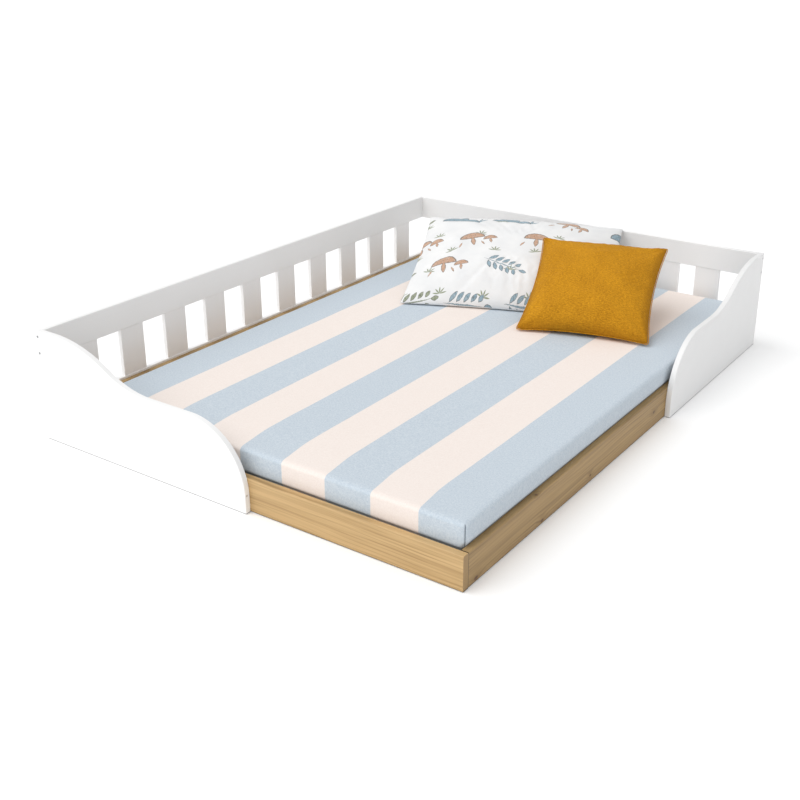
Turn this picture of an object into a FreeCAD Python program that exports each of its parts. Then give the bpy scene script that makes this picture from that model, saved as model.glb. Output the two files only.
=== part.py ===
import FreeCAD, Part
import math
import os

os.makedirs("parts", exist_ok=True)

# A low floor bed for a small child: a pine frame with a slatted base, slatted rails along the
# wall side and the head, a curved guard panel at each rail's other end, and its bedding.
# Sizes are in millimetres. X runs across the bed to its open side, Y runs from the foot to the
# head and Z is up. The origin is on the floor below the middle of the bed.

# Space inside the pine frame
well_width = 1390.0
well_length = 1890.0

# Pine boards and the parts that carry the base
pine_thickness = 22.0
pine_height = 97.0
pine_edge_bevel = 2.0
corner_block_side = 35.0
corner_block_height = 45.0
ledger_width = 22.0
ledger_height = 25.0
beam_width = 40.0
support_height = 32.0
base_slat_count = 13
base_slat_width = 70.0
base_slat_thickness = 15.0
base_slat_end_play = 2.0
base_slat_corner_gap = 8.0

# White boards: rails and guard panels
white_thickness = 18.0
rail_height = 345.0
rail_top_board_height = 87.0
rail_bottom_board_height = 104.0
rail_edge_bevel = 1.5
rail_slat_width = 90.0
rail_slat_thickness = 14.0
rail_slat_tenon = 12.0
mortise_clearance = 0.2
wall_rail_slat_count = 10
wall_rail_end_gap = 94.0
head_rail_slat_count = 8
head_rail_end_gap = 131.5

# Guard panel outline: flat top, long S-curve, low saddle and a round nose
foot_guard_length = 792.0
side_guard_length = 776.0
guard_flat_length = 64.0
guard_shoulder_radius = 440.0
guard_dip_radius = 310.0
guard_saddle_height = 238.5
guard_nose_radius = 190.0
guard_edge_bevel = 1.5

# Wood screws
screw_head_radius = 4.0
screw_head_height = 2.6
screw_shank_radius = 2.1
screw_tip_length = 6.0
screw_tip_radius = 0.4
screw_sides = 10
guard_screw_length = 50.0
guard_screw_inset = 18.0
block_screw_length = 50.0
block_screw_low = 14.0
block_screw_high = 31.0
ledger_screw_length = 38.0
ledger_screw_count = 4
ledger_screw_end_distance = 60.0
rail_screw_length = 36.0
rail_screw_height = 60.0
rail_screw_end_distance = 120.0
wall_rail_screw_count = 4
head_rail_screw_count = 3
guard_board_screw_count = 2

# Mattress in its fitted sheet, pushed against the open side
soft_clearance = 0.3
mattress_width = 1280.0
mattress_length = 1858.0
mattress_height = 120.0
mattress_crown = 5.0
mattress_edge_radius = 20.0
mattress_end_rounding = 10.0
mattress_foot_gap = 24.0
sheet_thickness = 2.0
sheet_hem_width = 110.0

# Pillow, whose top corner lies on the head rail
pillow_width = 750.0
pillow_height = 550.0
pillow_front_crown = 92.0
pillow_back_crown = 34.0
pillow_draw_in = 14.0
pillow_turn = 21.6
pillow_tip_reach = 7.0
pillow_tip_rise = 6.6
pillow_tip_from_side = 494.0
pillowcase_thickness = 1.5

# Square cushion, which leans on the pillow
cushion_side = 440.0
cushion_front_crown = 78.0
cushion_back_crown = 60.0
cushion_draw_in = 13.0
cushion_turn = 16.0
cushion_lean = 61.0
cushion_from_side = 462.0
cushion_cover_thickness = 1.5
seam_thickness = 3.0
dome_cells = 14
dome_power = 2.4
dome_edge_power = 0.62
settling_height = 12.0
settling_steps = 8

# How far the middle of a quarter-round lies from its square corner, as a share of its radius
quarter_round_middle = 1.0 - math.sqrt(0.5)

# Smallest length and alignment that count when edges are picked
length_tolerance = 0.01
parallel_cosine = 0.999

# Places that follow from the sizes
well_x = well_width / 2.0
well_y = well_length / 2.0
frame_x = well_x + pine_thickness
frame_y = well_y + pine_thickness
outer_x = frame_x + white_thickness
outer_y = frame_y + white_thickness
base_top = support_height + base_slat_thickness
mattress_bottom = base_top + soft_clearance
mattress_top = mattress_bottom + mattress_height
x_axis = FreeCAD.Vector(1, 0, 0)
y_axis = FreeCAD.Vector(0, 1, 0)
z_axis = FreeCAD.Vector(0, 0, 1)


def point(x, y, z):
    return FreeCAD.Vector(x, y, z)


def save(name, shape):
    shape.exportStep("parts/" + name + ".step")


def block(x_range, y_range, z_range):
    size = [x_range[1] - x_range[0], y_range[1] - y_range[0], z_range[1] - z_range[0]]
    return Part.makeBox(size[0], size[1], size[2], point(x_range[0], y_range[0], z_range[0]))


def edges_along(shape, axis):
    found = []
    for edge in shape.Edges:
        run = edge.Vertexes[-1].Point - edge.Vertexes[0].Point
        if abs(run.dot(axis)) > parallel_cosine * run.Length:
            found.append(edge)
    return found


def bevelled_board(x_range, y_range, z_range, long_axis, bevel):
    board = block(x_range, y_range, z_range)
    return board.makeChamfer(bevel, edges_along(board, long_axis))


def spread(first, last, count):
    step = (last - first) / (count - 1)
    return [first + step * index for index in range(count)]


def ring(radius, z):
    turns = [2.0 * math.pi * side / screw_sides for side in range(screw_sides)]
    return [point(radius * math.cos(turn), radius * math.sin(turn), z) for turn in turns]


def flat_face(corners):
    return Part.Face(Part.makePolygon(corners + corners[:1]))


def wood_screw(head, direction, length):
    rings = [
        ring(screw_head_radius, 0.0),
        ring(screw_shank_radius, screw_head_height),
        ring(screw_shank_radius, length - screw_tip_length),
        ring(screw_tip_radius, length),
    ]
    faces = [flat_face(rings[0][::-1]), flat_face(rings[-1])]
    for low, high in zip(rings, rings[1:]):
        for side in range(screw_sides):
            after = (side + 1) % screw_sides
            faces.append(flat_face([low[side], low[after], high[after], high[side]]))
    screw = Part.Solid(Part.Shell(faces))
    screw.Placement = FreeCAD.Placement(head, FreeCAD.Rotation(z_axis, direction))
    return screw


def drill(board, screws):
    for screw in screws:
        board = board.cut(screw)
    return board


# Screws, which also cut their own holes

def corner_signs():
    return [(-1, -1), (1, -1), (-1, 1), (1, 1)]


def block_screws(sign_x, sign_y):
    inner_x = sign_x * (well_x - corner_block_side)
    inner_y = sign_y * (well_y - corner_block_side)
    middle_x = sign_x * (well_x - corner_block_side / 2.0)
    middle_y = sign_y * (well_y - corner_block_side / 2.0)
    into_side = wood_screw(point(inner_x, middle_y, block_screw_high), x_axis * sign_x, block_screw_length)
    into_end = wood_screw(point(middle_x, inner_y, block_screw_low), y_axis * sign_y, block_screw_length)
    return [into_side, into_end]


def ledger_screws(sign_x):
    reach = well_y - corner_block_side - ledger_screw_end_distance
    height = support_height - ledger_height / 2.0
    face = sign_x * (well_x - ledger_width)
    places = spread(-reach, reach, ledger_screw_count)
    return [wood_screw(point(face, y, height), x_axis * sign_x, ledger_screw_length) for y in places]


def guard_end_screws():
    heights = [rail_height - guard_screw_inset, rail_height - rail_top_board_height + guard_screw_inset]
    middle = white_thickness / 2.0
    foot = [wood_screw(point(-outer_x + middle, -outer_y, z), y_axis, guard_screw_length) for z in heights]
    side = [wood_screw(point(outer_x, outer_y - middle, z), x_axis * -1, guard_screw_length) for z in heights]
    return foot, side


def rail_screws():
    wall_reach = well_y - rail_screw_end_distance
    head_reach = well_x - rail_screw_end_distance
    foot_end = -outer_x + foot_guard_length - rail_screw_end_distance
    side_end = outer_y - side_guard_length + rail_screw_end_distance
    wall_places = spread(-wall_reach, wall_reach, wall_rail_screw_count)
    head_places = spread(-head_reach, head_reach, head_rail_screw_count)
    foot_places = spread(-head_reach, foot_end, guard_board_screw_count)
    side_places = spread(side_end, wall_reach, guard_board_screw_count)
    z = rail_screw_height
    length = rail_screw_length
    return {
        "wall": [wood_screw(point(-well_x, y, z), x_axis * -1, length) for y in wall_places],
        "head": [wood_screw(point(x, well_y, z), y_axis, length) for x in head_places],
        "foot": [wood_screw(point(x, -well_y, z), y_axis * -1, length) for x in foot_places],
        "side": [wood_screw(point(well_x, y, z), x_axis, length) for y in side_places],
    }


corner_screws = {signs: block_screws(signs[0], signs[1]) for signs in corner_signs()}
all_corner_screws = sum(corner_screws.values(), [])
wall_ledger_screws = ledger_screws(-1)
open_ledger_screws = ledger_screws(1)
foot_guard_screws, side_guard_screws = guard_end_screws()
board_screws = rail_screws()


# Pine frame and slatted base

def build_frame():
    end_span = (-frame_x, frame_x)
    side_span = (-well_y, well_y)
    height = (0.0, pine_height)
    foot = bevelled_board(end_span, (-frame_y, -well_y), height, x_axis, pine_edge_bevel)
    head = bevelled_board(end_span, (well_y, frame_y), height, x_axis, pine_edge_bevel)
    wall = bevelled_board((-frame_x, -well_x), side_span, height, y_axis, pine_edge_bevel)
    side = bevelled_board((well_x, frame_x), side_span, height, y_axis, pine_edge_bevel)
    save("foot_board", drill(foot, all_corner_screws + board_screws["foot"]))
    save("head_board", drill(head, all_corner_screws + board_screws["head"]))
    save("wall_side_board", drill(wall, all_corner_screws + wall_ledger_screws + board_screws["wall"]))
    save("open_side_board", drill(side, all_corner_screws + open_ledger_screws + board_screws["side"]))


def build_corner_blocks():
    names = ["foot_wall", "foot_open", "head_wall", "head_open"]
    for name, signs in zip(names, corner_signs()):
        x_range = sorted([signs[0] * (well_x - corner_block_side), signs[0] * well_x])
        y_range = sorted([signs[1] * (well_y - corner_block_side), signs[1] * well_y])
        corner = block(x_range, y_range, (0.0, corner_block_height))
        save("corner_block_" + name, drill(corner, corner_screws[signs]))


def build_base():
    ledger_y = (-well_y + corner_block_side, well_y - corner_block_side)
    ledger_z = (support_height - ledger_height, support_height)
    wall = block((-well_x, -well_x + ledger_width), ledger_y, ledger_z)
    side = block((well_x - ledger_width, well_x), ledger_y, ledger_z)
    save("wall_side_ledger", drill(wall, wall_ledger_screws))
    save("open_side_ledger", drill(side, open_ledger_screws))
    beam_x = (-beam_width / 2.0, beam_width / 2.0)
    save("centre_beam", block(beam_x, (-well_y, well_y), (0.0, support_height)))
    slat_x = (-well_x + base_slat_end_play, well_x - base_slat_end_play)
    outermost = well_y - corner_block_side - base_slat_corner_gap - base_slat_width / 2.0
    for index, middle in enumerate(spread(-outermost, outermost, base_slat_count)):
        slat_y = (middle - base_slat_width / 2.0, middle + base_slat_width / 2.0)
        slat = block(slat_x, slat_y, (support_height, base_top))
        save("base_slat_%02d" % (index + 1), slat)


# Slatted rails, each built along +X with its outer face on y = white_thickness

def slat_starts(clear_start, clear_end, count, end_gap):
    return spread(clear_start + end_gap, clear_end - end_gap - rail_slat_width, count)


def rail_boards(length, starts):
    depth = (0.0, white_thickness)
    top_z = rail_height - rail_top_board_height
    top = bevelled_board((0.0, length), depth, (top_z, rail_height), x_axis, rail_edge_bevel)
    bottom = bevelled_board((0.0, length), depth, (0.0, rail_bottom_board_height), x_axis, rail_edge_bevel)
    half_slot = rail_slat_thickness / 2.0 + mortise_clearance
    slot_y = (white_thickness / 2.0 - half_slot, white_thickness / 2.0 + half_slot)
    slot_depth = rail_slat_tenon + mortise_clearance
    for start in starts:
        slot_x = (start - mortise_clearance, start + rail_slat_width + mortise_clearance)
        top = top.cut(block(slot_x, slot_y, (top_z, top_z + slot_depth)))
        bottom_z = rail_bottom_board_height - slot_depth
        bottom = bottom.cut(block(slot_x, slot_y, (bottom_z, rail_bottom_board_height)))
    return top, bottom


def rail_slat(start):
    half = rail_slat_thickness / 2.0
    slat_y = (white_thickness / 2.0 - half, white_thickness / 2.0 + half)
    bottom_z = rail_bottom_board_height - rail_slat_tenon
    top_z = rail_height - rail_top_board_height + rail_slat_tenon
    return block((start, start + rail_slat_width), slat_y, (bottom_z, top_z))


def build_rail(prefix, length, starts, placement, top_screws, bottom_screws):
    top, bottom = rail_boards(length, starts)
    top.Placement = placement
    bottom.Placement = placement
    save(prefix + "_top_board", drill(top, top_screws))
    save(prefix + "_bottom_board", drill(bottom, bottom_screws))
    for index, start in enumerate(starts):
        slat = rail_slat(start)
        slat.Placement = placement
        save(prefix + "_slat_%02d" % (index + 1), slat)


def build_wall_rail():
    length = 2.0 * frame_y
    starts = slat_starts(0.0, length, wall_rail_slat_count, wall_rail_end_gap)
    quarter_turn = FreeCAD.Rotation(z_axis, 90)
    placement = FreeCAD.Placement(point(-frame_x, -frame_y, 0), quarter_turn)
    build_rail("wall_rail", length, starts, placement, foot_guard_screws, board_screws["wall"])


def build_head_rail():
    length = outer_x + frame_x
    starts = slat_starts(white_thickness, length, head_rail_slat_count, head_rail_end_gap)
    placement = FreeCAD.Placement(point(-outer_x, frame_y, 0), FreeCAD.Rotation())
    build_rail("head_rail", length, starts, placement, side_guard_screws, board_screws["head"])


# Guard panels

def on_circle(centre, radius, degrees):
    angle = math.radians(degrees)
    return point(centre[0] + radius * math.cos(angle), 0, centre[1] + radius * math.sin(angle))


def arc(centre, radius, first, last):
    middle = (first + last) / 2.0
    ends = [on_circle(centre, radius, degrees) for degrees in (first, middle, last)]
    return Part.Arc(ends[0], ends[1], ends[2]).toShape()


def guard_outline(length):
    drop = rail_height - guard_saddle_height
    both_radii = guard_shoulder_radius + guard_dip_radius
    bend = math.degrees(math.acos(1.0 - drop / both_radii))
    dip_x = guard_flat_length + both_radii * math.sin(math.radians(bend))
    nose_x = length - guard_nose_radius
    nose_z = guard_saddle_height - guard_nose_radius
    shoulder = arc((guard_flat_length, rail_height - guard_shoulder_radius), guard_shoulder_radius, 90, 90 - bend)
    dip = arc((dip_x, guard_saddle_height + guard_dip_radius), guard_dip_radius, 270 - bend, 270)
    nose = arc((nose_x, nose_z), guard_nose_radius, 90, 0)
    return Part.Wire([
        Part.makeLine(point(0, 0, 0), point(0, 0, rail_height)),
        Part.makeLine(point(0, 0, rail_height), point(guard_flat_length, 0, rail_height)),
        shoulder,
        dip,
        Part.makeLine(point(dip_x, 0, guard_saddle_height), point(nose_x, 0, guard_saddle_height)),
        nose,
        Part.makeLine(point(length, 0, nose_z), point(length, 0, 0)),
        Part.makeLine(point(length, 0, 0), point(0, 0, 0)),
    ])


def guard_panel(length):
    panel = Part.Face(guard_outline(length)).extrude(y_axis * white_thickness)
    bevelled = []
    for edge in panel.Edges:
        box = edge.BoundBox
        along_face = box.YLength < length_tolerance
        off_floor = box.ZMax > length_tolerance
        off_rear_edge = box.XMax > length_tolerance
        if along_face and off_floor and off_rear_edge:
            bevelled.append(edge)
    return panel.makeChamfer(guard_edge_bevel, bevelled)


def build_guards():
    foot = guard_panel(foot_guard_length)
    foot.translate(point(-outer_x, -outer_y, 0))
    save("foot_guard_panel", drill(foot, foot_guard_screws + board_screws["foot"]))
    side = guard_panel(side_guard_length)
    side.Placement = FreeCAD.Placement(point(frame_x, outer_y, 0), FreeCAD.Rotation(z_axis, -90))
    save("side_guard_panel", drill(side, side_guard_screws + board_screws["side"]))


def build_screws():
    save("guard_panel_screws", Part.makeCompound(foot_guard_screws + side_guard_screws))
    save("corner_block_screws", Part.makeCompound(all_corner_screws))
    save("ledger_screws", Part.makeCompound(wall_ledger_screws + open_ledger_screws))
    save("board_to_rail_screws", Part.makeCompound(sum(board_screws.values(), [])))


# Mattress: a crowned section along Y, with its ends rounded over

def corner_edge(start, middle, end, rounded):
    if rounded:
        return Part.Arc(start, middle, end).toShape()
    return Part.makeLine(start, end)


def mattress_section(y, inset, rounded):
    half = mattress_width / 2.0 - inset
    low = mattress_bottom + inset
    shoulder = mattress_top - mattress_crown - inset
    crest = mattress_top - inset
    radius = mattress_edge_radius
    diagonal = radius * quarter_round_middle
    corners = [
        (-half + radius, low),
        (half - radius, low),
        (half, low + radius),
        (half, shoulder - radius),
        (half - diagonal, shoulder - diagonal),
        (half - radius, shoulder),
        (0.0, crest),
        (-half + radius, shoulder),
        (-half + diagonal, shoulder - diagonal),
        (-half, shoulder - radius),
        (-half, low + radius),
    ]
    p = [point(x, y, z) for x, z in corners]
    return Part.Wire([
        Part.makeLine(p[0], p[1]),
        Part.makeLine(p[1], p[2]),
        Part.makeLine(p[2], p[3]),
        corner_edge(p[3], p[4], p[5], rounded),
        Part.Arc(p[5], p[6], p[7]).toShape(),
        corner_edge(p[7], p[8], p[9], rounded),
        Part.makeLine(p[9], p[10]),
        Part.makeLine(p[10], p[0]),
    ])


def mattress_body(skin, rounded):
    half = mattress_length / 2.0 - skin
    shares = [(0.0, 1.0), (1.0, 0.0)]
    if rounded:
        shares.insert(1, (quarter_round_middle, quarter_round_middle))
    steps = [(reach * mattress_end_rounding, skin + inset * mattress_end_rounding) for reach, inset in shares]
    sections = [mattress_section(-half + reach, inset, rounded) for reach, inset in steps]
    sections += [mattress_section(half - reach, inset, rounded) for reach, inset in reversed(steps)]
    body = Part.makeLoft(sections, True, True)
    centre_x = well_x - soft_clearance - mattress_width / 2.0
    centre_y = -well_y + mattress_foot_gap + mattress_length / 2.0
    body.translate(point(centre_x, centre_y, 0))
    return body


def sheet_window(box):
    x_range = (box.XMin + sheet_hem_width, box.XMax - sheet_hem_width)
    y_range = (box.YMin + sheet_hem_width, box.YMax - sheet_hem_width)
    return block(x_range, y_range, (box.ZMin - sheet_thickness, box.ZMin + sheet_thickness))


# Pillow and cushion: two domes of flat facets that meet at a seam band, in a frame whose X is the
# width, Y the height and Z the front side

def dome_point(u, v, sizes, skin, crown):
    half_width, half_height, draw_in = sizes
    x = u * (half_width - skin - draw_in * (1.0 - v ** 2))
    y = v * (half_height - skin - draw_in * (1.0 - u ** 2))
    fullness = ((1.0 - abs(u) ** dome_power) * (1.0 - abs(v) ** dome_power)) ** dome_edge_power
    side = math.copysign(1.0, crown)
    return point(x, y, side * seam_thickness / 2.0 + (crown - side * skin) * fullness)


def dome_facets(grid):
    facets = []
    cells = len(grid) - 1
    for i in range(cells):
        for j in range(cells):
            a, b, c, d = grid[i][j], grid[i + 1][j], grid[i + 1][j + 1], grid[i][j + 1]
            if (2 * i < cells) == (2 * j < cells):
                facets += [flat_face([a, b, c]), flat_face([a, c, d])]
            else:
                facets += [flat_face([a, b, d]), flat_face([b, c, d])]
    return facets


def border(grid):
    return [row[0] for row in grid[:-1]] + grid[-1][:-1] + [row[-1] for row in grid[:0:-1]] + grid[0][:0:-1]


def stuffed_body(width, height, front_crown, back_crown, draw_in, skin):
    sizes = (width / 2.0, height / 2.0, draw_in)
    shares = [math.sin(turn) for turn in spread(-math.pi / 2.0, math.pi / 2.0, dome_cells + 1)]
    front = [[dome_point(u, v, sizes, skin, front_crown) for v in shares] for u in shares]
    back = [[dome_point(u, v, sizes, skin, -back_crown) for v in shares] for u in shares]
    facets = dome_facets(front) + dome_facets(back[::-1])
    high = border(front)
    low = border(back)
    for k in range(len(high)):
        facets.append(flat_face([low[k - 1], low[k], high[k], high[k - 1]]))
    return Part.Solid(Part.Shell(facets))


def turned_back(turn):
    angle = math.radians(turn)
    return point(-math.sin(angle), math.cos(angle), 0)


def leaning_placement(low_corner, turn, lean, width, height):
    back = turned_back(turn)
    across = back.cross(z_axis)
    up = back * math.sin(math.radians(lean)) + z_axis * math.cos(math.radians(lean))
    front = across.cross(up)
    centre = low_corner + across * (width / 2.0) + up * (height / 2.0)
    return FreeCAD.Placement(centre, FreeCAD.Rotation(across, up, front, "XYZ"))


def facing(shape, direction):
    return Part.makeCompound([face for face in shape.Faces if face.normalAt(0, 0).dot(direction) > 0])


def gap_along(shape, support, direction):
    return facing(shape, direction).distToShape(facing(support, direction * -1))[0]


def slide(shape, direction, gap):
    shape.translate(direction * (gap - soft_clearance))


def build_mattress():
    sheet = mattress_body(0.0, True)
    core = mattress_body(sheet_thickness, False)
    save("mattress_core", core)
    save("fitted_sheet", sheet.cut(core).cut(sheet_window(sheet.BoundBox)))
    return sheet


def build_pillow(sheet):
    sizes = (pillow_width, pillow_height, pillow_front_crown, pillow_back_crown, pillow_draw_in)
    case = stuffed_body(*sizes, 0.0)
    insert = stuffed_body(*sizes, pillowcase_thickness)
    low_z = mattress_top + seam_thickness
    tip_z = rail_height + pillow_tip_rise
    lean = math.degrees(math.acos((tip_z - low_z) / pillow_height))
    back = turned_back(pillow_turn)
    across = back.cross(z_axis)
    tip = point(well_x - pillow_tip_from_side, frame_y + pillow_tip_reach, tip_z)
    edge_to_tip = back * (pillow_height * math.sin(math.radians(lean))) + z_axis * (tip_z - low_z)
    low_corner = tip - across * pillow_width - edge_to_tip
    case.Placement = leaning_placement(low_corner, pillow_turn, lean, pillow_width, pillow_height)
    rail_z = (rail_height - rail_top_board_height, rail_height)
    rail = block((-outer_x, frame_x), (frame_y, outer_y), rail_z)
    down = z_axis * -1
    for step in range(settling_steps):
        slide(case, down, min(gap_along(case, sheet, down), gap_along(case, rail, down)))
    insert.Placement = case.Placement
    save("pillow_insert", insert)
    save("pillowcase", case.cut(insert))
    print("pillow gaps: sheet %.2f, rail %.2f" % (case.distToShape(sheet)[0], case.distToShape(rail)[0]))
    return case


def build_cushion(sheet, pillow):
    sizes = (cushion_side, cushion_side, cushion_front_crown, cushion_back_crown, cushion_draw_in)
    cover = stuffed_body(*sizes, 0.0)
    filling = stuffed_body(*sizes, cushion_cover_thickness)
    low_corner = point(well_x - cushion_from_side, 0.0, mattress_top + settling_height)
    cover.Placement = leaning_placement(low_corner, cushion_turn, cushion_lean, cushion_side, cushion_side)
    back = turned_back(cushion_turn)
    down = z_axis * -1
    for step in range(settling_steps):
        slide(cover, back, gap_along(cover, pillow, back))
        slide(cover, down, min(gap_along(cover, sheet, down), gap_along(cover, pillow, back)))
    slide(cover, back, gap_along(cover, pillow, back))
    filling.Placement = cover.Placement
    save("cushion_insert", filling)
    save("cushion_cover", cover.cut(filling))
    print("cushion gaps: sheet %.2f, pillow %.2f" % (cover.distToShape(sheet)[0], cover.distToShape(pillow)[0]))


build_frame()
build_corner_blocks()
build_base()
build_wall_rail()
build_head_rail()
build_guards()
build_screws()
fitted_sheet = build_mattress()
printed_pillow = build_pillow(fitted_sheet)
build_cushion(fitted_sheet, printed_pillow)
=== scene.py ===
import bpy
import math
from mathutils import Matrix, Vector, noise


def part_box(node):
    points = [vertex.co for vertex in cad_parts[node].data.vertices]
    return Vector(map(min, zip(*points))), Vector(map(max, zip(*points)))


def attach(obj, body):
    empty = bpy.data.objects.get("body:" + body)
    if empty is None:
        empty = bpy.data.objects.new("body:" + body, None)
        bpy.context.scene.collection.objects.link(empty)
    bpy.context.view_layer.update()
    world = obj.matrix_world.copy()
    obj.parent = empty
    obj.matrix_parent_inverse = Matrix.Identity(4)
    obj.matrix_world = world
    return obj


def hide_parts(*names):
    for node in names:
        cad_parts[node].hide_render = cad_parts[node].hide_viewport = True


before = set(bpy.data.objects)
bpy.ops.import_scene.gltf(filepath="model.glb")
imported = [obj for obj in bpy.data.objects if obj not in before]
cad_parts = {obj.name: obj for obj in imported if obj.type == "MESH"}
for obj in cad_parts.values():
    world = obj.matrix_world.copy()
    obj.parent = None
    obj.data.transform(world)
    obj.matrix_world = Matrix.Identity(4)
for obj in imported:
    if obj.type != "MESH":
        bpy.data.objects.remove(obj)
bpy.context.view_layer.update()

# Distances are in metres. X runs across the bed to its open side, Y to the head, Z up.

view = {
    "place": (1.878, -2.8487, 1.483),
    "turn": (68.127, -0.178, 34.407),  # degrees
    "lens": 50.39,
    "sensor": 36.0,
    "shift": (-0.0243, -0.0566),
}


def setUpView():
    turn = [math.radians(angle) for angle in view["turn"]]
    bpy.ops.object.camera_add(location=view["place"], rotation=turn)
    camera = bpy.context.object
    camera.data.lens = view["lens"]
    camera.data.sensor_width = view["sensor"]
    camera.data.shift_x, camera.data.shift_y = view["shift"]
    bpy.context.scene.camera = camera
    bpy.context.scene.view_settings.view_transform = "Standard"


studio = {
    "suns": [  # name, where it shines from, watts on a square metre, softness in degrees
        ("keyLight", (-0.5, -0.49, 0.9), 1.47, 60.0),
        ("fillLight", (0.3, -0.6, 0.77), 0.5, 90.0),
    ],
    "lampDistance": 3.0,
    "sky": 0.6,
    "skyColour": (1.0, 1.0, 1.0, 1.0),
    "floorHalf": 60.0,
    "floorDrop": 0.0005,  # keeps the floor just clear of the boards
    "paper": ((0.945, 0.945, 0.945, 1.0), (0.96, 0.96, 0.96, 1.0)),
    "paperFinish": {
        "Roughness": 0.9,
        "Emission Color": (0.96, 0.98, 1.0, 1.0),
        "Emission Strength": 0.1,  # the paper glows a little, so the shadows stay short
    },
}


def setUpStudio():
    for name, fromSide, watts, softness in studio["suns"]:
        place = [studio["lampDistance"] * value for value in fromSide]
        bpy.ops.object.light_add(type="SUN", location=place)
        lamp = bpy.context.object
        lamp.name = name
        lamp.data.energy = watts
        lamp.data.angle = math.radians(softness)
        lamp.rotation_euler = Vector(fromSide).to_track_quat("Z", "Y").to_euler()
    world = bpy.data.worlds.new("studioSky")
    world.use_nodes = True
    backdrop = world.node_tree.nodes["Background"]
    backdrop.inputs["Color"].default_value = studio["skyColour"]
    backdrop.inputs["Strength"].default_value = studio["sky"]
    bpy.context.scene.world = world
    floorPlace = (0.0, 0.0, -studio["floorDrop"])
    bpy.ops.mesh.primitive_plane_add(size=2.0 * studio["floorHalf"], location=floorPlace)
    floor = bpy.context.object
    floor.name = "studioFloor"
    floor.data.materials.append(floorPaper())


def startMaterial(name):
    material = bpy.data.materials.new(name)
    material.use_nodes = True
    return material, material.node_tree, material.node_tree.nodes["Principled BSDF"]


def setFinish(shader, values):
    for socketName, value in values.items():
        shader.inputs[socketName].default_value = value


def addNode(tree, kind, wires, **settings):
    made = tree.nodes.new("ShaderNode" + kind)
    for key, value in settings.items():
        setattr(made, key, value)
    for key, value in wires.items():
        if isinstance(value, bpy.types.NodeSocket):
            tree.links.new(value, made.inputs[key])
        else:
            made.inputs[key].default_value = value
    return made


def doMath(tree, operation, first, second=0.0):
    return addNode(tree, "Math", {0: first, 1: second}, operation=operation).outputs[0]


def doVector(tree, operation, first, second=(0.0, 0.0, 0.0)):
    made = addNode(tree, "VectorMath", {0: first, 1: second}, operation=operation)
    return made.outputs["Value"] if operation in ("LENGTH", "DISTANCE") else made.outputs[0]


def times(tree, value, factor):
    return doMath(tree, "MULTIPLY", value, factor)


def minus(tree, value, less):
    return doMath(tree, "SUBTRACT", value, less)


def summed(tree, *values):
    whole = values[0]
    for value in values[1:]:
        whole = doMath(tree, "ADD", whole, value)
    return whole


def offCentre(tree, value, middle):
    return doMath(tree, "ABSOLUTE", minus(tree, value, middle))


def joinUp(tree, x, y, z=0.0):
    return addNode(tree, "CombineXYZ", {0: x, 1: y, 2: z}).outputs[0]


def takeApart(tree, vector):
    return addNode(tree, "SeparateXYZ", {0: vector}).outputs


def blendColours(tree, share, first, second):
    wires = {0: share, 6: first, 7: second}
    return addNode(tree, "Mix", wires, data_type="RGBA").outputs[2]


def mapRange(tree, value, fromLow, fromHigh, toLow=0.0, toHigh=1.0, smooth=True):
    kind = "SMOOTHSTEP" if smooth else "LINEAR"
    wires = {0: value, 1: fromLow, 2: fromHigh, 3: toLow, 4: toHigh}
    return addNode(tree, "MapRange", wires, interpolation_type=kind).outputs[0]


def speckle(tree, vector, scale, detail=2.0, roughness=0.5):
    wires = {"Vector": vector, "Scale": scale, "Detail": detail, "Roughness": roughness}
    return addNode(tree, "TexNoise", wires).outputs[0]


def mottled(tree, vector, scale, detail=2.0, roughness=0.5, low=0.3, high=0.7):
    # a speckle whose contrast is drawn out between low and high
    return mapRange(tree, speckle(tree, vector, scale, detail, roughness), low, high)


def stretched(tree, vector, factors):
    return doVector(tree, "MULTIPLY", vector, factors)


def ownPlace(tree):
    return tree.nodes.new("ShaderNodeTexCoord").outputs["Object"]


def clothPlace(tree):
    return addNode(tree, "UVMap", {}, uv_map="cut").outputs[0]


def wave(tree, value, perMetre):
    return doMath(tree, "SINE", times(tree, value, 2.0 * math.pi * perMetre))


def wovenThreads(tree, parts, perMetre):
    return times(tree, wave(tree, parts[0], perMetre), wave(tree, parts[1], perMetre))


def addBump(tree, shader, height, strength, distance):
    wires = {"Height": height, "Strength": strength, "Distance": distance}
    bump = addNode(tree, "Bump", wires).outputs[0]
    tree.links.new(bump, shader.inputs["Normal"])


def floorPaper():
    material, tree, shader = startMaterial("floorPaper")
    colour = blendColours(tree, mottled(tree, ownPlace(tree), 40.0), *studio["paper"])
    tree.links.new(colour, shader.inputs["Base Color"])
    setFinish(shader, studio["paperFinish"])
    return material


paint = {
    "clean": (0.95, 0.95, 0.95, 1.0),
    "shade": (0.92, 0.92, 0.915, 1.0),
    "worn": (0.8, 0.8, 0.8, 1.0),  # painted shade: a touch greyer at the open side, where the side guard stands in shade
    "paintedShadeFrom": (0.5, 0.73),  # in X, where the painted shade begins and where it is full
    "knot": (0.3, 0.25, 0.19, 1.0),
    "knotPlace": (0.057, -0.978, 0.052),  # one knot shows through on the foot panel's front edge
    "knotRadius": 0.0045,
    "knotShare": 0.55,
    "foot": (0.25, 0.25, 0.25, 1.0),
    "contactShadowLine": 0.0016,  # painted contact shadow: the dark line where a board stands on the floor
    "contactShadowShare": 0.75,
    "gloss": (0.4, 0.52),  # roughness of the smoothest and the roughest patches
    "rollerGrain": 420.0,
    "relief": (0.12, 0.0004),  # strength and depth of the bump
}


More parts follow.
